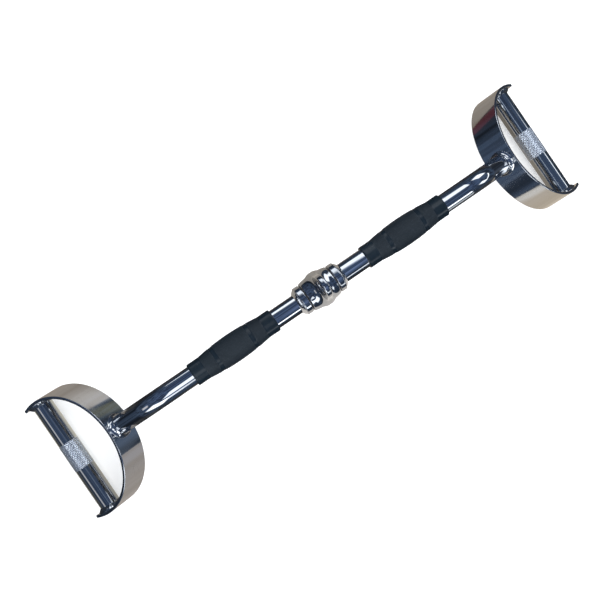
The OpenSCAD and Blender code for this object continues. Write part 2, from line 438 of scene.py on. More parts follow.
def knurled_chrome():
    """Chrome on the hand bars, satin on the knurling and brighter elsewhere. The knurling's colour
    is painted light: a pale painted highlight on the diamonds' tips, flecked into glints, and a
    darker blue-grey painted shade in the grooves.
    """
    material = chrome("chrome_hand_bar", 0.09, 70.0, 0.01 * MM, bright=(0.47, 0.49, 0.51, 1))
    tree = material.node_tree
    shader = next(n for n in tree.nodes if n.type == "BSDF_PRINCIPLED")
    place = next(n for n in tree.nodes if n.type == "TEX_COORD").outputs["Object"]
    off = math_node(tree, "ABSOLUTE", split(tree, place)["Y"])
    half = KNURL_LENGTH / 2
    inside = ramp(tree, off, half - 0.3 * MM, half + 0.3 * MM, 1.0, 0.0)
    rough = shader.inputs["Roughness"].links[0].from_socket
    satin = times(tree, inside, 0.06, rough)
    tree.links.new(satin, shader.inputs["Roughness"])
    tree.links.new(times(tree, inside, -0.1, 1.0), shader.inputs["Metallic"])
    tone = shader.inputs["Base Color"].links[0].from_socket
    # Painted highlight and shade on the knurling: pale on the tips with painted glints, blue-grey
    # in the grooves
    tips = node(tree, "ShaderNodeAttribute", {"attribute_name": "knurl_tip_highlight"}).outputs["Fac"]
    painted_glints = ramp(tree, noise(tree, place, 420.0, 1.0), 0.4, 0.6, 0.55, 1.0)
    bright = blend_colour(tree, times(tree, tips, painted_glints),
                          (0.38, 0.43, 0.52, 1), (0.92, 0.96, 1.0, 1))
    silver = blend_colour(tree, inside, tone, bright)
    tree.links.new(silver, shader.inputs["Base Color"])
    return material


def grip_rubber():
    """Moulded rubber, pebbled and matt between the smooth cuffs and rings, a little dusty."""
    material, tree, shader, place = new_material("rubber_grip")
    middle = (GRIP_START + GRIP_END) / 2
    off = apart(tree, math_node(tree, "ABSOLUTE", split(tree, place)["X"]), middle)
    from_ring = apart(tree, off, RING_SET)
    outside_ring = ramp(tree, from_ring, RING_WIDTH / 2 - 0.2 * MM, RING_WIDTH / 2 + 0.2 * MM)
    cuff = (GRIP_END - GRIP_START) / 2 - CUFF_LENGTH
    inside_cuff = ramp(tree, off, cuff - 0.5 * MM, cuff + 0.5 * MM, 1.0, 0.0)
    pebbled = times(tree, outside_ring, inside_cuff)
    grain = use_group(tree, PEBBLES, Place=place, Pebbles=850.0)
    marks = use_group(tree, MARKS, Place=place, Size=40.0)["Mask"]
    clouds = noise(tree, place, 22.0, 3.0, 0.6)
    black = blend_colour(tree, clouds, (0.0035, 0.0075, 0.012, 1), (0.009, 0.0155, 0.023, 1))
    dusty = times(tree, times(tree, grain["Valleys"], pebbled), 0.35)
    dusty = times(tree, marks, 0.25, dusty, clamp=True)
    tone = blend_colour(tree, dusty, black, (0.021, 0.030, 0.041, 1))
    rough = times(tree, pebbled, 0.36, 0.2)
    rough = times(tree, marks, 0.12, rough)
    height = times(tree, grain["Height"], pebbled)
    scuffs = noise(tree, place, 900.0, 2.0)
    height = times(tree, scuffs, 0.06, height)
    bump = node(tree, "ShaderNodeBump", Strength=1.0, Distance=0.16 * MM, Height=height)
    shader.inputs["Specular IOR Level"].default_value = 0.3
    set_finish(tree, shader, tone, rough, bump)
    return material


def bush_bronze():
    """Oiled sintered bronze with darker pores."""
    material, tree, shader, place = new_material("bronze_bush")
    pores = noise(tree, place, 2600.0, 2.0)
    marks = use_group(tree, MARKS, Place=place, Size=60.0)["Mask"]
    tone = blend_colour(tree, ramp(tree, pores, 0.35, 0.5), (0.24, 0.13, 0.06, 1),
                        (0.62, 0.38, 0.19, 1))
    rough = times(tree, marks, 0.2, 0.32)
    bump = node(tree, "ShaderNodeBump", Strength=0.5, Distance=0.02 * MM, Height=pores)
    shader.inputs["Metallic"].default_value = 1.0
    set_finish(tree, shader, tone, rough, bump)
    return material


def washer_nylon():
    """Black nylon, rubbed grey where it turns against metal."""
    material, tree, shader, place = new_material("nylon_washer")
    marks = use_group(tree, MARKS, Place=place, Size=90.0)["Mask"]
    tone = blend_colour(tree, marks, (0.02, 0.02, 0.022, 1), (0.09, 0.09, 0.095, 1))
    rough = times(tree, marks, 0.25, 0.38)
    bump = node(tree, "ShaderNodeBump", Strength=0.4, Distance=0.02 * MM,
                Height=noise(tree, place, 1500.0))
    set_finish(tree, shader, tone, rough, bump)
    return material


# Pieces

def main_bar(material):
    """The bar in one piece: straight, bent down at both ends and coped to the bands."""
    sides = 128
    bend_steps = 48
    angle = np.arange(sides) / sides * TURN
    stations = []
    for side in (LEFT, RIGHT):
        half = []
        for x in np.linspace(GRIP_START, BEND_START, 24):
            half.append((np.array([side * x, 0, BAR_Z]), np.array([0, 0, 1.0])))
        for k in range(1, bend_steps + 1):
            turn = BEND_ANGLE * k / bend_steps
            x = BEND_START + BEND_RADIUS * math.sin(turn)
            z = BAR_Z - BEND_RADIUS * (1 - math.cos(turn))
            up = np.array([side * math.sin(turn), 0, math.cos(turn)])
            half.append((np.array([side * x, 0, z]), up))
        place = Stirrup(side)
        for share in (0.25, 0.5, 0.75, 0.9):
            half.append((place.point(-RING_REACH + share * NECK_LENGTH, 0, 0), place.up))
        stations = half[::-1] if side == LEFT else stations + half
    rings = [centre + BAR_RADIUS * (np.cos(angle)[:, None] * np.array([0, 1.0, 0])
                                    + np.sin(angle)[:, None] * up) for centre, up in stations]
    ends = []
    for side in (LEFT, RIGHT):
        y = BAR_RADIUS * np.cos(angle)
        cope = -np.sqrt(BAND_RADIUS ** 2 - y ** 2)
        ends.append(Stirrup(side).point(cope, y, BAR_RADIUS * np.sin(angle)))
    rings = np.array([ends[0], *rings, ends[1]])
    tips = [Stirrup(side).point(-BAND_RADIUS, 0, 0) for side in (LEFT, RIGHT)]
    piece = skin("main_bar_tube", rings, caps=[(0, tips[0]), (-1, tips[1])])
    return dress(piece, "bar", "bar_chrome", material, "main_bar")


def strip_ring(inset):
    """The band's section, rounded on its long edges, as (radius, height) points."""
    low, high = BAND_INNER + inset, BAND_RADIUS - inset
    half = BAND_WIDTH / 2 - inset
    ease = max(0.9 * MM - inset, 0.25 * MM)
    return eased([(low, -half, ease), (high, -half, ease), (high, half, ease), (low, half, ease)])


def band(name, side, material):
    """A flat strip bent to a D, with rounded edges and eased ends."""
    steps = 220
    end_ease = 0.6 * MM
    reach = math.pi / 2 + TAIL_ANGLE
    start = [(-reach + move / BAND_RADIUS, inset) for inset, move in
             [(end_ease * (1 - math.sin(t)), end_ease * (1 - math.cos(t)))
              for t in np.linspace(0, math.pi / 2, 6)]]
    middle = [(turn, 0) for turn in np.linspace(-reach, reach, steps)[1:-1]]
    end = [(-turn, inset) for turn, inset in start[::-1]]
    place = Stirrup(side)
    rings = []
    for turn, inset in start + middle + end:
        section = strip_ring(inset)
        radius, height = section[:, 0], section[:, 1]
        rings.append(place.point(-radius * math.cos(turn), radius * math.sin(turn), height))
    piece = skin(name + "_strip", np.array(rings), caps=[(0, None), (-1, None)])
    return dress(piece, "bar", "band_chrome", material, name)


def hand_bar(name, side, material):
    """A hand bar with its diamond knurling, coped at both ends to the inside of the band."""
    starts = 34
    sides = starts * 10
    depth = 0.46 * MM
    edge = 0.3 * MM
    slant = math.radians(32)
    lead = TURN * HAND_BAR_RADIUS / starts / math.tan(slant)
    angle = np.arange(sides) / sides * TURN
    half = KNURL_LENGTH / 2
    knurl = np.linspace(-half, half, 149)
    plain = np.linspace(half + 1.2 * MM, 0.93 * BAND_INNER, 16)
    along = np.concatenate([-plain[::-1], [-half - edge], knurl, [half + edge], plain])
    y, turn = np.meshgrid(along, angle, indexing="ij")
    lands = []
    for way in (-1, 1):
        groove = np.mod(turn / TURN * starts + way * y / lead, 1.0)
        lands.append(np.abs(2 * groove - 1))
    tips = np.minimum(1.25 * np.minimum(*lands), 1)
    inside = smooth_step(half - np.abs(y), 0, 0.5 * MM)
    # Painted highlight: the knurl's diamond tips get a pale colour in the material, standing in for
    # the light they catch
    tip_highlight = 1 - inside * (1 - tips)
    radius = HAND_BAR_RADIUS + inside * (KNURL_RISE - depth * (1 - tips))
    place = Stirrup(side)
    rings = place.point(HAND_BAR_SET + radius * np.cos(turn), y, radius * np.sin(turn))
    ends = []
    for end in (FRONT, REAR):
        out = HAND_BAR_SET + HAND_BAR_RADIUS * np.cos(angle)
        cope = end * np.sqrt(BAND_INNER ** 2 - out ** 2)
        ends.append(place.point(out, cope, HAND_BAR_RADIUS * np.sin(angle)))
    rings = np.concatenate([ends[:1], rings, ends[1:]])
    reach = math.sqrt(BAND_INNER ** 2 - HAND_BAR_SET ** 2)
    middles = [place.point(HAND_BAR_SET, end * reach, 0) for end in (FRONT, REAR)]
    piece = skin(name + "_knurled", rings, caps=[(0, middles[0]), (-1, middles[1])])
    # The painted highlight's share at every point, kept as an attribute for the material
    bright = np.concatenate([np.ones(sides), tip_highlight.ravel(), np.ones(sides + 2)])
    layer = piece.data.attributes.new("knurl_tip_highlight", "FLOAT", "POINT")
    layer.data.foreach_set("value", bright)
    return dress(piece, "bar", "hand_bar_chrome", material, name)


def bead_rings(on_tube, on_plate, angle, leg, bulge, ripples, seed):
    """Sections of a rippled weld bead.

    on_tube and on_plate give the points at an angle round the joint and at a distance from the
    corner where the two surfaces meet.
    """
    steps = 14
    ripple_height = 0.065
    wander = np.random.default_rng(seed)
    phase = wander.uniform(0, TURN, 3)
    uneven = 1 + 0.05 * np.sin(2 * angle + phase[0]) + 0.04 * np.sin(5 * angle + phase[1])
    toe = leg * uneven
    root = on_tube(angle, np.zeros_like(angle))
    start, end = on_tube(angle, toe), on_plate(angle, toe * 1.04)
    middle = (start + end) / 2
    lift = middle - root
    crown = middle + bulge * lift
    sunk = root - 0.12 * lift
    rings = [sunk]
    for k in range(steps + 1):
        t = k / steps
        arc = (1 - t) ** 2 * start + 2 * t * (1 - t) * crown + t ** 2 * end
        scallop = ripples * angle + 10.0 * (t - 0.5) ** 2 + phase[2]
        wave = ripple_height * (np.abs(np.sin(scallop / 2)) - 0.6) * 4 * t * (1 - t)
        rings.append(arc + wave[:, None] * lift)
    return np.array(rings).transpose(1, 0, 2)


def neck_weld(name, side, material):
    """The bead that joins the bar to the back of the band."""
    place = Stirrup(side)
    angle = np.arange(288) / 288 * TURN

    def on_tube(turn, run):
        y = BAR_RADIUS * np.cos(turn)
        return place.point(-np.sqrt(BAND_RADIUS ** 2 - y ** 2) - run, y, BAR_RADIUS * np.sin(turn))

    def on_plate(turn, run):
        y = (BAR_RADIUS + run) * np.cos(turn)
        out = -np.sqrt(BAND_RADIUS ** 2 - y ** 2)
        return place.point(out, y, (BAR_RADIUS + run) * np.sin(turn))

    leg = NECK_WELD_LEG * (0.66 + 0.22 * np.sin(angle) ** 2)
    rings = bead_rings(on_tube, on_plate, angle, leg, -0.5, 12, 11 + side)
    piece = skin(name + "_bead", rings, closed_rings=True)
    return dress(piece, "bar", "weld_chrome", material, name)


def hand_weld(name, side, end, material):
    """The bead round one end of a hand bar, which stops at the band's tip."""
    place = Stirrup(side)
    tip = BAND_INNER * math.sin(TAIL_ANGLE) - 0.4 * MM
    stop = math.acos((tip - HAND_BAR_SET) / HAND_BAR_RADIUS)
    angle = np.linspace(stop, TURN - stop, 240)

    def on_tube(turn, run):
        out = HAND_BAR_SET + HAND_BAR_RADIUS * np.cos(turn)
        reach = np.sqrt(BAND_INNER ** 2 - out ** 2) - run
        return place.point(out, end * reach, HAND_BAR_RADIUS * np.sin(turn))

    def on_plate(turn, run):
        out = np.minimum(HAND_BAR_SET + (HAND_BAR_RADIUS + run) * np.cos(turn), tip)
        reach = np.sqrt(BAND_INNER ** 2 - out ** 2)
        return place.point(out, end * reach, (HAND_BAR_RADIUS + run) * np.sin(turn))

    taper = smooth_step(angle - stop, -0.05, 0.5) * smooth_step(TURN - stop - angle, -0.05, 0.5)
    leg = 0.9 * HAND_WELD_LEG * taper
    rings = bead_rings(on_tube, on_plate, angle, leg, 0.1, 21, 31 + 3 * side + end)
    piece = skin(name + "_bead", rings, caps=[(0, None), (-1, None)])
    return dress(piece, "bar", "weld_chrome", material, name)


def collar(name, material):
    """A turned collar with eased rims."""
    low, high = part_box(name)
    x0, x1, radius = low.x, high.x, high.y
    ease = 1.1 * MM
    rim = 0.3 * MM
    outline = eased([(x0, BAR_RADIUS, rim), (x1, BAR_RADIUS, rim), (x1, radius, ease),
                     (x0, radius, ease)])
    piece = skin(name + "_turned", turned_rings(outline), closed_rings=True)
    return dress(piece, "bar", "collar_chrome", material, name)


def collar_weld(name, side, material):
    """The sloping bead that closes a collar onto the bar, faintly rippled."""
    low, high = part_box(name)
    face, tip = (low.x, high.x) if side == RIGHT else (high.x, low.x)
    top = high.y
    sides = 288
    ripples = 20
    angle = np.arange(sides) / sides * TURN
    t = np.linspace(0, 1, 15)[:, None]
    ripple = np.abs(np.sin(ripples * angle + 3.0 * (t - 0.5) ** 2))
    bulge = (0.35 + 0.12 * ripple) * MM * np.sin(math.pi * t)
    slope = np.hstack([face + (tip - face) * t, top + (BAR_RADIUS - top) * t + bulge])
    sunk = [face] + [BAR_RADIUS - 0.3 * MM] * sides
    rings = turned_rings(np.vstack([slope, sunk]), sides)
    piece = skin(name + "_bead", rings, closed_rings=True)
    return dress(piece, "bar", "weld_chrome", material, name)


def grip(name, side, material):
    """A moulded grip: crowned, with plain cuffs, two shallow rings and rounded ends."""
    half = (GRIP_END - GRIP_START) / 2
    cuff_radius = BAR_RADIUS + CUFF_WALL
    crown_half = half - CUFF_LENGTH
    rise = CROWN_RADIUS - cuff_radius
    arc = (crown_half ** 2 + rise ** 2) / (2 * rise)
    end_ease = 1.5 * MM
    edge = 0.5 * MM
    fine = np.concatenate([ring + np.linspace(-edge, edge, 7)
                           for ring in (RING_SET - RING_WIDTH / 2, RING_SET + RING_WIDTH / 2)])
    broad = np.concatenate([np.linspace(0, crown_half, 60),
                            np.linspace(crown_half, half, 14)[1:-1]])
    x = np.unique(np.concatenate([fine, broad[broad < half - end_ease]]).round(7))
    x = np.concatenate([-x[:0:-1], x])
    off = np.abs(x)
    crown = CROWN_RADIUS - arc + np.sqrt(arc ** 2 - np.minimum(off, crown_half) ** 2)
    from_ring = np.abs(off - RING_SET)
    ring = smooth_step(from_ring, RING_WIDTH / 2 - edge, RING_WIDTH / 2 + edge) - 1
    radius = np.maximum(crown, cuff_radius) + RING_DEPTH * ring
    turn = np.linspace(0, math.pi / 2, 8)
    round_x = half - end_ease * (1 - np.sin(turn))
    round_r = cuff_radius - end_ease * (1 - np.cos(turn))
    right = np.stack([round_x, round_r], -1)
    left = np.stack([-round_x, round_r], -1)[::-1]
    outline = np.concatenate([left, np.stack([x, radius], -1), right,
                              [[half, BAR_RADIUS], [-half, BAR_RADIUS]]])
    outline[:, 0] += side * (GRIP_START + GRIP_END) / 2
    piece = skin(name + "_moulded", turned_rings(outline), closed_rings=True)
    return dress(piece, "bar", "grip_rubber", material, name)


# The hanger's form, as a distance in millimetres from its surface, and its rounded edges

SLEEVE_EASE = 1.2
PLATE_EASE = 2.0
BORE_EASE = 0.8
EYE_EASE = 1.6
LEAST_FILLET = 0.3


def rounded_both(a, b, ease):
    """Inside both of two forms, with the edge where they meet rounded."""
    outer = np.hypot(np.maximum(a + ease, 0), np.maximum(b + ease, 0))
    return np.minimum(np.maximum(a, b), -ease) + outer


def filleted_either(a, b, ease):
    """Inside either of two forms, with a hollow fillet where they meet."""
    inner = np.hypot(np.maximum(ease - a, 0), np.maximum(ease - b, 0))
    return np.maximum(np.minimum(a, b), ease) - inner


def hanger_distance(points):
    """Distance from the surface of the cast hanger, with the bar's axis along x at z = 0."""
    x, y, z = points[..., 0], points[..., 1], points[..., 2]
    end_r, crown, half = (v / MM for v in (SLEEVE_END_RADIUS, SLEEVE_CROWN, SLEEVE_HALF))
    arc = (half ** 2 + crown ** 2) / (2 * crown)
    from_axis = np.hypot(y, z)
    barrel = from_axis - (end_r + crown - arc + np.sqrt(np.maximum(arc ** 2 - x ** 2, 1)))
    sleeve = rounded_both(barrel, np.abs(x) - half, SLEEVE_EASE)
    rise, eye_r = EYE_RISE / MM, (EYE_HOLE_RADIUS + EYE_RIM) / MM
    foot_r = end_r + crown - 1.0
    lean = (foot_r - eye_r) / rise
    slope = math.sqrt(1 - lean ** 2)
    across = np.abs(y)
    part = z * slope - across * lean
    outline = across * slope + z * lean - foot_r
    outline = np.where(part < 0, from_axis - foot_r, outline)
    outline = np.where(part > slope * rise, np.hypot(across, z - rise) - eye_r, outline)
    plate = rounded_both(outline, np.abs(x) - PLATE_THICKNESS / MM / 2, PLATE_EASE)
    fillet = LEAST_FILLET + (FLARE_RADIUS / MM - LEAST_FILLET) * smooth_step(z, -6, 10)
    body = filleted_either(plate, sleeve, fillet)
    bore = BUSH_RADIUS / MM - from_axis
    body = rounded_both(body, bore, BORE_EASE)
    hole = EYE_HOLE_RADIUS / MM - np.hypot(y, z - rise)
    return rounded_both(body, hole, EYE_EASE)


def surface_of(distance, low, high, cell):
    """Quads on the zero surface of a distance, one point to each cell that it crosses."""
    axes = [np.arange(a, b + cell, cell) for a, b in zip(low, high)]
    grid = np.stack(np.meshgrid(*axes, indexing="ij"), -1)
    value = distance(grid)
    inside = value < 0
    cells = tuple(n - 1 for n in value.shape)
    total = np.zeros(cells + (3,))
    crossings = np.zeros(cells)
    for axis in range(3):
        first = [slice(None)] * 3
        second = [slice(None)] * 3
        first[axis], second[axis] = slice(0, -1), slice(1, None)
        first, second = tuple(first), tuple(second)
        cross = inside[first] != inside[second]
        share = np.where(cross, value[first] / (value[first] - value[second] + 1e-12), 0)
        spot = grid[first].copy()
        spot[..., axis] += share * cell
        others = [a for a in range(3) if a != axis]
        for move_a in (0, 1):
            for move_b in (0, 1):
                pick = [slice(0, n) for n in cells]
                pick[others[0]] = slice(move_a, move_a + cells[others[0]])
                pick[others[1]] = slice(move_b, move_b + cells[others[1]])
                pick = tuple(pick)
                total += np.where(cross[pick][..., None], spot[pick], 0)
                crossings += cross[pick]
    used = crossings > 0
    index = np.full(cells, -1)
    index[used] = np.arange(used.sum())
    points = total[used] / crossings[used][:, None]
    quads = []
    for axis in range(3):
        a, b = [n for n in range(3) if n != axis]
        first = [slice(1, -1)] * 3
        second = [slice(1, -1)] * 3
        first[axis], second[axis] = slice(0, -1), slice(1, None)
        cross = inside[tuple(first)] != inside[tuple(second)]
        spots = np.argwhere(cross)
        spots[:, a] += 1
        spots[:, b] += 1
        ring = []
        for move_a, move_b in ((0, 0), (1, 0), (1, 1), (0, 1)):
            cell_of = spots.copy()
            cell_of[:, a] -= move_a
            cell_of[:, b] -= move_b
            ring.append(index[tuple(cell_of.T)])
        quads.append(np.stack(ring, -1))
    return points, np.concatenate(quads)


def settle(distance, points, rounds=5):
    """Moves points onto the zero surface along its slope."""
    reach = 0.02
    for _ in range(rounds):
        slope = np.stack([(distance(points + step) - distance(points - step)) / (2 * reach)
                          for step in np.eye(3) * reach], -1)
        size = np.maximum((slope ** 2).sum(-1, keepdims=True), 0.05)
        points = points - distance(points)[:, None] * slope / size
    return points


def hanger(material):
    """The revolving hanger: a crowned sleeve that flows up into a flared plate with its eye."""
    half, side_r = SLEEVE_HALF / MM, (SLEEVE_END_RADIUS + SLEEVE_CROWN) / MM
    top = (EYE_RISE + EYE_HOLE_RADIUS + EYE_RIM) / MM
    cell = 0.62
    room = 2 * cell
    # On the flanks, the fillet swells the casting out past the sleeve
    swell = 2.5
    low = (-half - room, -side_r - swell, -side_r - room)
    high = (half + room, side_r + swell, top + room)
    points, quads = surface_of(hanger_distance, low, high, cell)
    points = settle(hanger_distance, points) * MM
    points[:, 2] += BAR_Z
    flow = points[quads.reshape(-1)][:, :2]
    piece = build("swivel_hanger_casting", points, quads.tolist(), [flow])
    return dress(piece, "hanger", "hanger_chrome", material, "swivel_hanger")


def bare_solid(name, material):
    """A solid that keeps its own shape and gets its finish."""
    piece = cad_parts[name]
    piece.data.materials.clear()
    piece.data.materials.append(material)


def dress_handle():
    """Makes every piece of the handle."""
    bar = chrome("chrome_bar", 0.045, 55.0, 0.012 * MM)
    strip = chrome("chrome_band", 0.075, 45.0, 0.02 * MM, line_share=0.45, lines=1100.0, dull=0.12)
    hub_tone = (0.47, 0.485, 0.51, 1)
    bright = chrome("chrome_collar", 0.05, 90.0, 0.008 * MM, bright=hub_tone)
    bead = chrome("chrome_weld", 0.085, 130.0, 0.04 * MM, by_flow=False)
    cast = chrome("chrome_hanger", 0.055, 95.0, 0.03 * MM, by_flow=False, bright=hub_tone)
    held = knurled_chrome()
    rubber = grip_rubber()
    bronze = bush_bronze()
    nylon = washer_nylon()
    main_bar(bar)
    hanger(cast)
    for word, side in SIDES.items():
        band(word + "_band", side, strip)
        hand_bar(word + "_hand_bar", side, held)
        neck_weld(word + "_neck_weld", side, bead)
        hand_weld(word + "_front_weld", side, FRONT, bead)
        hand_weld(word + "_rear_weld", side, REAR, bead)
        grip(word + "_grip", side, rubber)
        collar(word + "_collar", bright)
        collar_weld(word + "_collar_weld", side, bead)
        bare_solid(word + "_bush", bronze)
        bare_solid(word + "_washer", nylon)


# The studio

CAMERA_PLACE = Vector((-0.2009, 0.0107, 1.4076))
CAMERA_AIM = Vector((-0.0233, 0.0020, -0.0818))
CAMERA_UP = Vector((0.5602, 0.8260, 0.0620))
CAMERA_LENS = 70.77
CEILING = 2.0
# Flat cards that overlap each need a plane of their own, or a ray can miss one of them
LAYERS = itertools.count()


def set_camera():
    """The camera at the photograph's angle, nearly overhead."""
    data = bpy.data.cameras.new("camera")
    data.sensor_width = 36
    data.lens = CAMERA_LENS
    back = (CAMERA_PLACE - CAMERA_AIM).normalized()
    right = CAMERA_UP.cross(back).normalized()
    up = back.cross(right)
    camera = bpy.data.objects.new("camera", data)
    turn = Matrix((right, up, back)).transposed().to_4x4()
    camera.matrix_world = Matrix.Translation(CAMERA_PLACE) @ turn
    bpy.context.scene.collection.objects.link(camera)
    bpy.context.scene.camera = camera


def plane(name, corners, material):
    """A flat staged card through four corners."""
    mesh = bpy.data.meshes.new(name)
    mesh.from_pydata([tuple(c) for c in corners], [], [(0, 1, 2, 3)])
    layer = mesh.uv_layers.new(name="card")
    layer.data.foreach_set("uv", [0, 0, 1, 0, 1, 1, 0, 1])
    mesh.materials.append(material)
    card = bpy.data.objects.new(name, mesh)
    bpy.context.scene.collection.objects.link(card)
    return card


def unseen_card(name, corners, material):
    """A card that lights the work and stays out of the camera's sight."""
    card = plane(name, corners, material)
    card.visible_camera = False
    return card


def oblong(x0, x1, y0, y1):
    """The corners (x, y) of a card that lies square to the work."""
    return [(x0, y0), (x1, y0), (x1, y1), (x0, y1)]


def glow(name, colour, strength, softness):
    """A soft box's light, even in the middle and clear at its edges, by the share that fades."""
    material = bpy.data.materials.new(name)
    material.use_nodes = True
    tree = material.node_tree
    tree.nodes.clear()
    parts = split(tree, node(tree, "ShaderNodeUVMap", {"uv_map": "card"}).outputs["UV"])
    power = strength
    for key, share in zip(("X", "Y"), softness if isinstance(softness, tuple) else (softness,) * 2):
        off = apart(tree, parts[key], 0.5)
        fall = ramp(tree, off, 0.5 - share, 0.5, 1.0, 0.0)
        power = times(tree, fall, power)
    light = node(tree, "ShaderNodeEmission", Color=colour, Strength=power).outputs[0]
    clear = node(tree, "ShaderNodeBsdfTransparent").outputs[0]
    both = node(tree, "ShaderNodeAddShader", **{"0": light, "1": clear}).outputs[0]
    node(tree, "ShaderNodeOutputMaterial", Surface=both)
    return material


def lamp_card(name, corners, colour, strength, softness=0.2):
    """A soft box hung face down over the work, from its corners (x, y) on the ceiling."""
    z = CEILING + BAR_Z + next(LAYERS) * MM
    return unseen_card(name, [(x, y, z) for x, y in corners],
                       glow(name, colour, strength, softness))


def wall_card(name, azimuth, zenith, wide, high, colour, strength, softness=0.2, distance=4.0):
    """A soft box that faces the work from a direction. Angles are in degrees."""
    a, t = math.radians(azimuth), math.radians(zenith)
    way = Vector((math.sin(t) * math.cos(a), math.sin(t) * math.sin(a), math.cos(t)))
    across = Vector((-math.sin(a), math.cos(a), 0))
    upward = way.cross(across)
    middle = way * distance + Vector((0, 0, BAR_Z))
    w = across * distance * math.tan(math.radians(wide / 2))
    h = upward * distance * math.tan(math.radians(high / 2))
    corners = [middle - w - h, middle + w - h, middle + w + h, middle - w + h]
    return unseen_card(name, corners, glow(name, colour, strength, softness))


TAN = (0.43, 0.385, 0.345, 1)
WARM_TAN = (0.60, 0.51, 0.39, 1)
OLIVE = (0.135, 0.125, 0.055, 1)
MAROON = (0.085, 0.016, 0.022, 1)
SLATE = (0.055, 0.066, 0.082, 1)
LEFT_STRIP = ["left_band_strip"]
RIGHT_STRIP = ["right_band_strip"]
COLLAR_WELDS = [side + "_collar_weld_bead" for side in SIDES]
HUB = ["swivel_hanger_casting", "left_collar_turned", "right_collar_turned"] + COLLAR_WELDS
HAND_BARS = ["left_hand_bar_knurled", "right_hand_bar_knurled"]
NECK_WELDS = [side + "_neck_weld_bead" for side in SIDES]
HAND_WELDS = [side + end + "_weld_bead" for side in SIDES for end in ("_front", "_rear")]


def light_only(card, pieces, state="INCLUDE"):
    """Lets a card light only these pieces or, with EXCLUDE, every piece but these."""
    chosen = bpy.data.collections.new(card.name + "_receivers")
    for piece in pieces:
        chosen.objects.link(bpy.data.objects[piece])
    for member in chosen.collection_objects:
        member.light_linking.link_state = state
    card.light_linking.receiver_collection = chosen


def board(name, corners, colour, softness, pieces=None):
    """A board on the floor that only the chrome picks up, from its corners (x, y)."""
    z = FLOOR_Z - (0.1 + 0.02 * next(LAYERS)) * MM
    card = unseen_card(name, [(x, y, z) for x, y in corners], glow(name, colour, 1.0, softness))
    card.visible_diffuse = False
    card.visible_shadow = False
    if pieces:
        light_only(card, pieces)
    return card


def set_floor():
    """A plain pale floor, and boards round the work for the chrome to pick up."""
    material = bpy.data.materials.new("pale_floor")
    material.use_nodes = True
    shader = material.node_tree.nodes["Principled BSDF"]
    shader.inputs["Base Color"].default_value = (0.94, 0.94, 0.94, 1)
    shader.inputs["Roughness"].default_value = 0.9
    shader.inputs["Emission Color"].default_value = (1, 1, 1, 1)
    shader.inputs["Emission Strength"].default_value = 0.12
    reach = 60.0
    z = FLOOR_Z - 0.8 * MM
    floor = plane("floor", [(x, y, z) for x, y in oblong(-reach, reach, -reach, reach)], material)
    floor.visible_glossy = False
    floor.visible_diffuse = False
    light_only(board("middle_board", [(-0.23, -0.135), (0.23, -0.05), (0.23, 0.18), (-0.23, 0.075)],
                     TAN, 0.06), HUB + NECK_WELDS, "EXCLUDE")
    board("hub_front_board", oblong(-0.5, 0.5, -0.40, 0), (0.78, 0.73, 0.67, 1), 0.05, HUB)
    board("hub_rear_board", oblong(-0.5, 0.5, 0, 0.44), (0.43, 0.39, 0.335, 1), 0.05, HUB)
    board("left_front_board", [(-0.45, -0.06), (-0.19, -0.06), (0.32, -0.45), (-0.45, -0.45)],
          (0.39, 0.345, 0.30, 1), 0.02, LEFT_STRIP)
    board("left_rear_board", [(-0.45, 0.06), (-0.11, 0.06), (0.13, 0.42), (-0.45, 0.42)],
          (0.315, 0.27, 0.22, 1), 0.02, LEFT_STRIP)
    board("left_light_board", [(-0.37, 0.11), (-0.01, 0.11), (0.17, 0.37), (-0.28, 0.37)],
          (0.28, 0.285, 0.28, 1), 0.32, LEFT_STRIP)
    board("left_olive_board", oblong(0.13, 1.3, 0.2, 0.7), OLIVE, 0.08, LEFT_STRIP)
    board("left_slate_board", [(0.15, -0.25), (3.5, -0.25), (3.5, -1.3), (0.35, -1.3)],
          SLATE, 0.03, LEFT_STRIP)
    board("right_front_board", [(0.46, -0.05), (0.46, -0.56), (0.085, -0.50), (0.0, -0.05)],
          WARM_TAN, 0.03, RIGHT_STRIP)
    board("right_light_board", [(0.30, -0.19), (0.30, -0.50), (0.02, -0.52), (0.09, -0.22)],
          (0.19, 0.22, 0.24, 1), 0.3, RIGHT_STRIP)
    board("right_rear_board", [(0.22, 0.05), (0.46, 0.05), (0.46, 0.165), (0.22, 0.212)],
          (0.30, 0.255, 0.205, 1), 0.04, RIGHT_STRIP)
    board("right_maroon_board", oblong(0.12, 0.46, 0.19, 0.33), MAROON, 0.15, RIGHT_STRIP)
    board("left_hand_front_board", oblong(-0.42, -0.235, -0.09, 0),
          (0.48, 0.45, 0.37, 1), 0.01, HAND_BARS)
    board("left_hand_rear_board", oblong(-0.42, -0.235, 0, 0.09),
          (0.80, 0.75, 0.62, 1), 0.01, HAND_BARS)
    board("left_far_board", [(-3.0, -0.5), (-0.42, -0.2), (-0.42, 0.2), (-3.0, 0.5)],
          (0.09, 0.09, 0.09, 1), 0.02, HAND_BARS[:1])
    board("right_hand_front_board", oblong(0.12, 0.375, -0.09, 0),
          (0.37, 0.32, 0.255, 1), 0.01, HAND_BARS)
    board("right_hand_rear_board", oblong(0.12, 0.375, 0, 0.09),
          (0.25, 0.215, 0.17, 1), 0.01, HAND_BARS)
    board("bar_front_board", [(0.22, -0.30), (0.34, -0.30), (1.2, -2.4), (0.45, -2.4)],
          (0.62, 0.65, 0.67, 1), 0.03, ["main_bar_tube"])


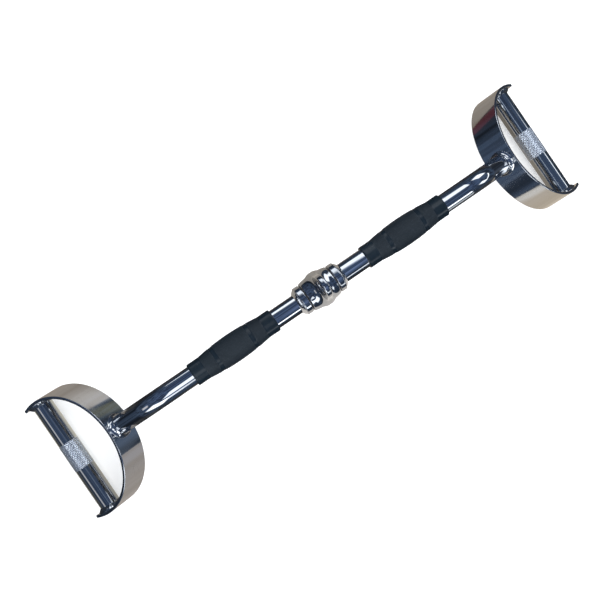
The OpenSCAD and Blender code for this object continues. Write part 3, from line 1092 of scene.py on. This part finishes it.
def set_room():
    """A dim blue-grey room for the chrome, an even pale one for the camera and for soft light."""
    world = bpy.data.worlds.new("room")
    bpy.context.scene.world = world
    world.use_nodes = True
    tree = world.node_tree
    tree.nodes.clear()
    way = node(tree, "ShaderNodeTexCoord").outputs["Generated"]
    parts = split(tree, way)
    z = parts["Z"]
    clutter = ramp(tree, noise(tree, way, 5.0, 4.0, 0.6), 0.38, 0.62, 0.5, 1.6)
    far_end = times(tree, ramp(tree, parts["X"], -0.85, -0.55, 0.65, 0.0),
                    ramp(tree, z, -0.12, 0.06, 1.0, 0.0))
    rear = times(tree, ramp(tree, parts["X"], -0.32, -0.12, 0.57, 0.0),
                 ramp(tree, parts["Y"], 0.6, 0.8))
    rear = times(tree, rear, ramp(tree, z, -0.12, -0.02, 1.0, 0.0))
    shade = math_node(tree, "SUBTRACT", math_node(tree, "SUBTRACT", 1.0, far_end), rear, clamp=True)
    clutter = times(tree, clutter, shade)
    dim = blend_colour(tree, ramp(tree, z, 0.0, 0.9), (0.043, 0.064, 0.102, 1),
                       (0.060, 0.092, 0.165, 1))
    low = blend_colour(tree, ramp(tree, z, -0.6, 0.0), (0.05, 0.05, 0.052, 1), dim)
    ray = node(tree, "ShaderNodeLightPath").outputs
    mirror = node(tree, "ShaderNodeBackground", Color=low, Strength=clutter)
    pale = blend_colour(tree, ramp(tree, z, -0.2, 0.05), (0.10, 0.10, 0.10, 1),
                        (0.96, 0.98, 1.0, 1))
    even = node(tree, "ShaderNodeBackground", Color=pale, Strength=1.05)
    both = node(tree, "ShaderNodeMixShader", **{"0": ray["Is Glossy Ray"], "1": even.outputs[0],
                                                "2": mirror.outputs[0]})
    node(tree, "ShaderNodeOutputWorld", Surface=both.outputs[0])


def set_lamps():
    """Strip lights and soft boxes that draw the long white streaks along the tubes."""
    white = (0.93, 0.97, 1.0, 1)
    cool = (0.8, 0.92, 1.0, 1)
    lamp_card("long_strip", [(0.40, 0.40), (1.30, 0.35), (0.95, 12.5), (-0.95, 12.5)],
              white, 1.7, (0.16, 0.03))
    light_only(lamp_card("near_box", [(-0.20, 0.12), (-1.25, -1.4), (0.08, -1.4), (0.10, 0.12)],
                         white, 1.7, 0.14), HAND_BARS, "EXCLUDE")
    lamp_card("far_box", [(-1.5, -1.9), (-1.9, -4.2), (0.05, -4.0), (0.05, -1.9)], white, 1.5)
    lamp_card("blue_box", [(0.10, -0.35), (0.10, -1.7), (0.60, -1.7), (0.52, -0.35)],
              (0.09, 0.12, 0.20, 1), 1.0, 0.3)
    wall_card("front_window", -86, 73, 10, 16, white, 3.0)
    wall_card("middle_window", -79, 80, 5, 10, white, 2.0)
    wall_card("front_side_window", -70, 72, 14, 18, white, 2.6)
    wall_card("left_front_windows", -128, 64, 46, 34, white, 2.3)
    light_only(wall_card("right_rear_windows", 31, 66, 32, 28, white, 2.1), HUB, "EXCLUDE")
    light_only(wall_card("hub_rear_windows", 31, 66, 54, 44, white, 2.3, distance=4.2), HUB)
    wall_card("right_front_window", -36, 74, 16, 24, white, 2.0)
    light_only(wall_card("over_left_hand", -160, 4.6, 16, 6, cool, 0.3, 0.4, 4.4), HAND_BARS[:1])
    light_only(wall_card("over_right_hand", -158, 7.5, 30, 5, cool, 1.15, 0.4, 4.4), HAND_BARS[1:])
    for name, corners in (("knurl_front_box", oblong(-0.9, 0.9, -2.0, -0.75)),
                          ("knurl_rear_box", oblong(-0.9, 0.2, 0.75, 2.0))):
        light_only(lamp_card(name, corners, white, 4.0, 0.2), HAND_BARS)
    wall_card("left_window", 180, 63, 20, 17, (1.0, 0.97, 0.93, 1), 0.7)
    for name, azimuth, pieces in (("rear_weld_window", 90, HAND_WELDS),
                                  ("front_weld_window", -90, HAND_WELDS),
                                  ("left_weld_window", 180, COLLAR_WELDS),
                                  ("right_weld_window", 0, COLLAR_WELDS)):
        light_only(wall_card(name, azimuth, 82, 50, 18, white, 1.5, 0.3), pieces)
    z = 0.09
    unseen_card("end_lamp", [(x, y, z) for x, y in oblong(0.80, 1.08, -0.5, 0.10)],
                glow("end_lamp", white, 2.3, 0.2))
    data = bpy.data.lights.new("overhead", "AREA")
    data.shape = "DISK"
    data.size = 2.5
    data.energy = 52
    light = bpy.data.objects.new("overhead", data)
    light.location = (0.3, 0.2, 3.2)
    bpy.context.scene.collection.objects.link(light)
    light.visible_camera = False
    light.visible_glossy = False


def set_studio():
    """Sets the camera, the floor, the room and the lamps."""
    set_camera()
    set_floor()
    set_room()
    set_lamps()
    bpy.context.scene.view_settings.view_transform = "Standard"


dress_handle()
set_studio()
